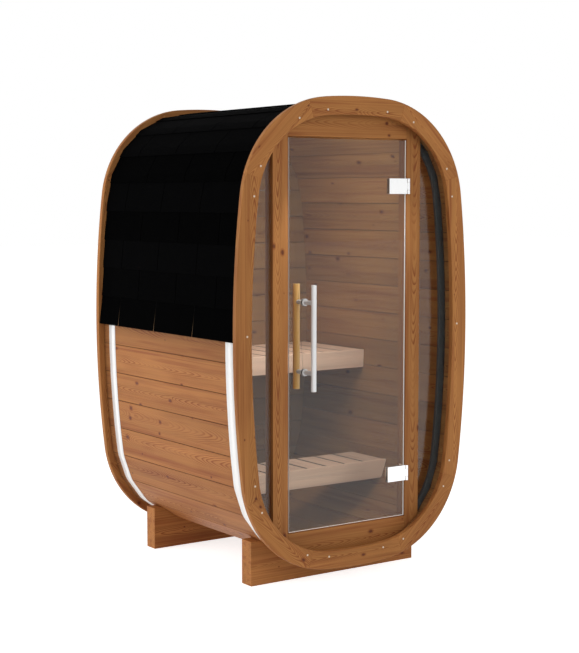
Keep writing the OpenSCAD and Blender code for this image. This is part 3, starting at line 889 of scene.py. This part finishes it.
def spindle_stations(length, outer_glass, inner_glass):
    """Body, domed flange and neck of a spindle on each side of the glass, from the outer bar to the inner."""
    body, flange, dome = SPINDLE_HALF_D, FLANGE_HALF_D, FLANGE_DOME
    off_glass = [(FLANGE_T + dome, body), (FLANGE_T, body + dome), (FLANGE_T, flange - dome),
                 (FLANGE_T - dome, flange), (WASHER_T, flange), (WASHER_T, NECK_HALF_D)]
    outer = [(outer_glass - off, radius) for off, radius in off_glass]
    inner = [(inner_glass + off, radius) for off, radius in reversed(off_glass)]
    return [(0, body), *outer, *inner, (length, body)]


def washer_stations():
    """A flat washer with its rims broken."""
    face = WASHER_HALF_D - WASHER_RIM
    return [(0, face), (WASHER_RIM, WASHER_HALF_D), (WASHER_T - WASHER_RIM, WASHER_HALF_D), (WASHER_T, face)]


def handle_spindles():
    """Two spindles through the glass, with a washer on each side of it."""
    low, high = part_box("handle_spindles")
    glass_low, glass_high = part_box("door_glass")
    x = (low.x + high.x) / 2
    stations = spindle_stations(high.y - low.y, glass_low.y - low.y, glass_high.y - low.y)
    washer = washer_stations()
    spindles = []
    washers = []
    for z in (low.z + FLANGE_HALF_D, high.z - FLANGE_HALF_D):
        spindles.append(turned("spindle", (x, low.y, z), (0, 1, 0), stations, TURNED_SIDES))
        for y in (glass_low.y - WASHER_T, glass_high.y):
            washers.append(turned("washer", (x, y, z), (0, 1, 0), washer, TURNED_SIDES))
    pair = join(spindles, "handle_spindles_turned")
    paint_with(pair, SATIN_STEEL)
    place_on(pair, DOOR, "steel", "handle_spindles")
    rings = join(washers, "handle_washers")
    paint_with(rings, RUBBER)
    place_on(rings, DOOR, "trim")


def screw_places():
    """Where the screws of a ring sit, in X and Z."""
    places = []
    reach = CORNER_ARC - SCREW_IN
    for side, angles in ((1, UPPER_SCREWS), (-1, LOWER_SCREWS)):
        for angle in map(math.radians, angles):
            x = CORNER_C.x + reach * math.cos(angle)
            z = RING_MID + side * (CORNER_C.y + reach * math.sin(angle))
            places += [(-x, z), (x, z)]
    x = RING_HALF_W - SCREW_IN
    return places + [(-x, RING_MID + SIDE_SCREW_UP), (x, RING_MID + SIDE_SCREW_UP)]


def ring_screws(name, y_face, outward, proud):
    """Round screw heads with a socket, modelled once and copied to their places."""
    dome = [(up * proud, out * SCREW_HALF_D) for up, out in HEAD_OUTLINE]
    head = [(-SCREW_SUNK, SCREW_HALF_D), *dome, (proud - SOCKET_DEPTH, SOCKET_FOOT)]
    first = turned(name, (0, 0, 0), (0, outward, 0), head, SCREW_SIDES)
    screws = []
    for x, z in screw_places():
        screw = added(name, first.data.copy())
        edit(screw)
        bpy.ops.transform.translate(value=(x, y_face, z))
        done()
        screws.append(screw)
    bpy.data.objects.remove(first)
    row = join(screws, name)
    paint_with(row, SCREW_STEEL)
    return place_on(row, CABIN, "steel")


# Sheet and glass

def steel_band(node):
    """A thin band bent softly over the edges of the staves."""
    middle = Vector((0, 0, RING_MID))

    def faces_in(face):
        return face.normal.dot(face.calc_center_median() - middle) < 0

    band = open_copy(node, node + "_bent")
    pick(band, "FACE", lambda f: abs(f.normal.y) > MOSTLY or faces_in(f))
    bpy.ops.mesh.delete(type="FACE")
    select_whole()
    bpy.ops.mesh.dissolve_limited(angle_limit=FLAT)
    pick(band, "EDGE", lambda e: abs((e.verts[0].co - e.verts[1].co).normalized().y) > ALONG)
    bpy.ops.mesh.bevel(offset=BAND_BEND, segments=BAND_BEND_STEPS, affect="EDGES")
    done()
    take(band)
    bpy.ops.object.shade_smooth_by_angle(angle=EDGE_SHARPNESS)
    modify(band, "SOLIDIFY", thickness=BAND_T, offset=-1)
    paint_with(band, BAND_STEEL)
    return place_on(band, CABIN, SLOT_OF[node], node)


def is_slit(face, low, high):
    """Whether a face is a wall of a slit in the lowest course."""
    at = face.calc_center_median()
    inside = low.y + END_OF_COURSE < at.y < high.y - END_OF_COURSE
    return abs(face.normal.y) > NEARLY and inside and at.z < low.z + LOWEST_TABS


def shingles(node):
    """Courses of felt, each with its own shade."""
    name = node + "_felt"
    piece = copy_of(node, name)
    round_edges(piece, FELT_EDGE, steps=1)
    courses = loose_parts(piece)
    for course in courses:
        give_tone(course)
    piece = join(courses, name)
    paint_with(piece, FELT, CUT_FELT)
    low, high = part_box(node)
    edit(piece)
    paint_faces(piece, 1, lambda f: is_slit(f, low, high))
    done()
    return place_on(piece, CABIN, SLOT_OF[node], node)


def smooth_copy(node, suffix, finish, radius, body):
    """A piece as it is in CAD, with rounded edges."""
    piece = copy_of(node, node + suffix)
    round_edges(piece, radius)
    paint_with(piece, finish)
    return place_on(piece, body, SLOT_OF[node], node)


def pane(node, body, *edges):
    """A glass pane with a small arris; each of its edges is a finish and a test of a face's normal."""
    piece = copy_of(node, node + "_pane")
    paint_with(piece, GLASS, *(finish for finish, _ in edges))
    edit(piece)
    pick(piece, "FACE", lambda f: abs(f.normal.y) < MOSTLY)
    bpy.ops.mesh.region_to_loop()
    bpy.ops.mesh.bevel(offset=ARRIS, segments=1, affect="EDGES")
    for index, (_, faces_edge) in enumerate(edges, 1):
        paint_faces(piece, index, lambda f: abs(f.normal.y) < NEARLY and faces_edge(f.normal))
    done()
    return place_on(piece, body, SLOT_OF[node], node)


# The sauna

PLANED = (
    (("floor_staves", "lower_left_staves", "left_wall_staves", "upper_left_staves", "roof_staves",
      "upper_right_staves", "right_wall_staves", "lower_right_staves"), STAVE_PINE, STAVE_EDGE),
    (("back_wall",), WALL_PINE, STAVE_EDGE),
    (("front_bearer", "rear_bearer"), RING_PINE, BEARER_EDGE),
    (("left_post", "right_post", "door_head", "door_sill"), SHADED_PINE, POST_EDGE),
    (("upper_bench_fascia", "upper_bench_rails"), SHADED_BENCH_WOOD, BENCH_EDGE),
    (("lower_bench_fascia", "lower_bench_rails"), LIT_BENCH_WOOD, BENCH_EDGE),
    (("upper_bench_slats", "lower_bench_slats"), SHADED_SLAT_WOOD, SLAT_EDGE),
)
for nodes, wood, edge in PLANED:
    for node in nodes:
        planed(node, wood, edge)

front_low, front_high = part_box("front_ring_rails")
rear_low, rear_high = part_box("rear_ring_rails")
rear_face = rear_high.y - REAR_PLANED
end_ring("front_ring_planed", RING_PINE, front_low.y, front_high.y, "front_ring_corners", "front_ring_rails")
end_ring("rear_ring_planed", SHADED_PINE, rear_low.y, rear_face, "rear_ring_corners", "rear_ring_rails")
ring_screws("front_ring_screws", front_low.y, -1, FRONT_PROUD)
ring_screws("rear_ring_screws", rear_face, 1, REAR_PROUD)

for node in ("front_band", "rear_band"):
    steel_band(node)
for node in ("left_shingles", "right_shingles", "ridge_cap"):
    shingles(node)
for node in ("left_glass_trim", "right_glass_trim"):
    smooth_copy(node, "_strip", TRIM, TRIM_EDGE, CABIN)
for node in ("left_side_glass", "right_side_glass"):
    pane(node, CABIN)
for node in ("upper_hinge_leaf", "lower_hinge_leaf"):
    smooth_copy(node, "_milled", BRIGHT_STEEL, STEEL_EDGE, CABIN)
for node in ("upper_hinge_clamp", "lower_hinge_clamp"):
    smooth_copy(node, "_milled", BRIGHT_STEEL, STEEL_EDGE, DOOR)
# The door's right and bottom edges get the brighter painted glow, the left edge the dimmer one
pane("door_glass", DOOR, (BRIGHT_GLOWING_EDGE, lambda normal: normal.x > SLANTED or normal.z < -SLANTED),
     (DIM_GLOWING_EDGE, lambda normal: normal.x < -SLANTED))
handle_bar("outer_handle", BAR_STEEL)
handle_bar("inner_handle", GRIP_WOOD)
handle_spindles()


# Studio

def seen_rays(paint):
    """1 for rays that show the background: to the camera, in metal and through glass."""
    seen = rays(paint, "Camera").math("MAXIMUM", rays(paint, "Glossy"))
    return seen.math("MAXIMUM", rays(paint, "Transmission"))


def white_surroundings():
    world = bpy.data.worlds.new("white_surroundings")
    world.use_nodes = True
    world.node_tree.nodes.clear()
    bpy.context.scene.world = world
    paint = Wire(world.node_tree)
    light = SKY_LIGHT + seen_rays(paint) * (1 - SKY_LIGHT)
    sky = paint.node("ShaderNodeBackground", None, {"Color": (1, 1, 1, 1), "Strength": light})
    paint.node("ShaderNodeOutputWorld", None, {"Surface": sky})


def pale_floor():
    deselect()
    bpy.ops.mesh.primitive_plane_add(size=2 * FLOOR_HALF)
    floor = bpy.context.object
    floor.name = "studio_floor"
    material, paint = new_finish("studio_floor")
    matt = paint.node("ShaderNodeBsdfDiffuse", None, {"Color": FLOOR_COLOUR})
    light = FLOOR_BOUNCE + seen_rays(paint) * (FLOOR_GLOW - FLOOR_BOUNCE)
    glow = paint.node("ShaderNodeEmission", None, {"Strength": light})
    show(paint, paint.node("ShaderNodeAddShader", None, {0: matt, 1: glow}))
    paint_with(floor, material)


def soft_lamp(name, at, size, power, way=None, spread=math.pi):
    """A square lamp towards the sauna's middle, or another way, unseen in pictures and mirrors."""
    lamp = added(name, bpy.data.lights.new(name, "AREA"))
    lamp.data.size = size
    lamp.data.energy = power
    lamp.data.spread = spread
    lamp.location = at
    lamp.rotation_euler = (way or MIDDLE - Vector(at)).to_track_quat("-Z", "Y").to_euler()
    lamp.visible_camera = False
    lamp.visible_glossy = False
    lamp.visible_transmission = False


def photo_camera():
    camera = added("photo_camera", bpy.data.cameras.new("photo_camera"))
    camera.location = CAMERA_AT
    camera.rotation_euler = CAMERA_TURN
    camera.data.lens = CAMERA_LENS
    camera.data.sensor_width = SENSOR
    bpy.context.scene.camera = camera


white_surroundings()
pale_floor()
soft_lamp("key_lamp", KEY_AT, KEY_SIZE, KEY_POWER)
soft_lamp("fill_lamp", FILL_AT, FILL_SIZE, FILL_POWER)
soft_lamp("room_lamp", ROOM_AT, ROOM_SIZE, ROOM_POWER)
soft_lamp("bench_lamp", BENCH_AT, BENCH_SIZE, BENCH_POWER, TO_BENCHES, BENCH_SPREAD)
soft_lamp("wall_lamp", WALL_AT, WALL_SIZE, WALL_POWER, TO_WALL)
photo_camera()
bpy.context.scene.view_settings.view_transform = "Standard"
